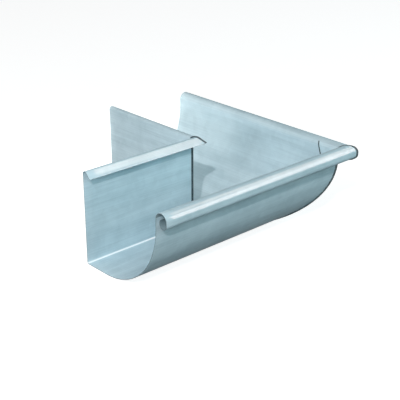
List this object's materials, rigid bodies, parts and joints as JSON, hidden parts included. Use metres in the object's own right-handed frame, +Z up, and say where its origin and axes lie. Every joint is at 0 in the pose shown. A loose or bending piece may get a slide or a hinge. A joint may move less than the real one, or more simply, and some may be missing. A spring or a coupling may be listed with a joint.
{
  "type": "gutter external angle",
  "caption": "Soldered sheet-metal outside corner for a quarter-round eaves gutter, with a rolled front bead and a turned-in lip along the back.",
  "frame": {"origin": "the building's corner: where the outer faces of the two back walls would meet, level with the flat underside", "axes": "+Z up; the left wing runs along -X with its back wall facing +Y, the right wing runs along +Y with its back wall facing -X, and the front corner lies towards +X and -Y"},
  "size_m": [0.2794, 0.2794, 0.1071],
  "materials": {
    "sheet": "galvanised or zinc sheet, pale blue-grey, satin, with faint streaks along the run",
    "solder": "dull grey solder"
  },
  "bodies": {
    "root": {"left_wing": "sheet", "right_wing": "sheet", "corner_seam": "solder"}
  },
  "joints": []
}
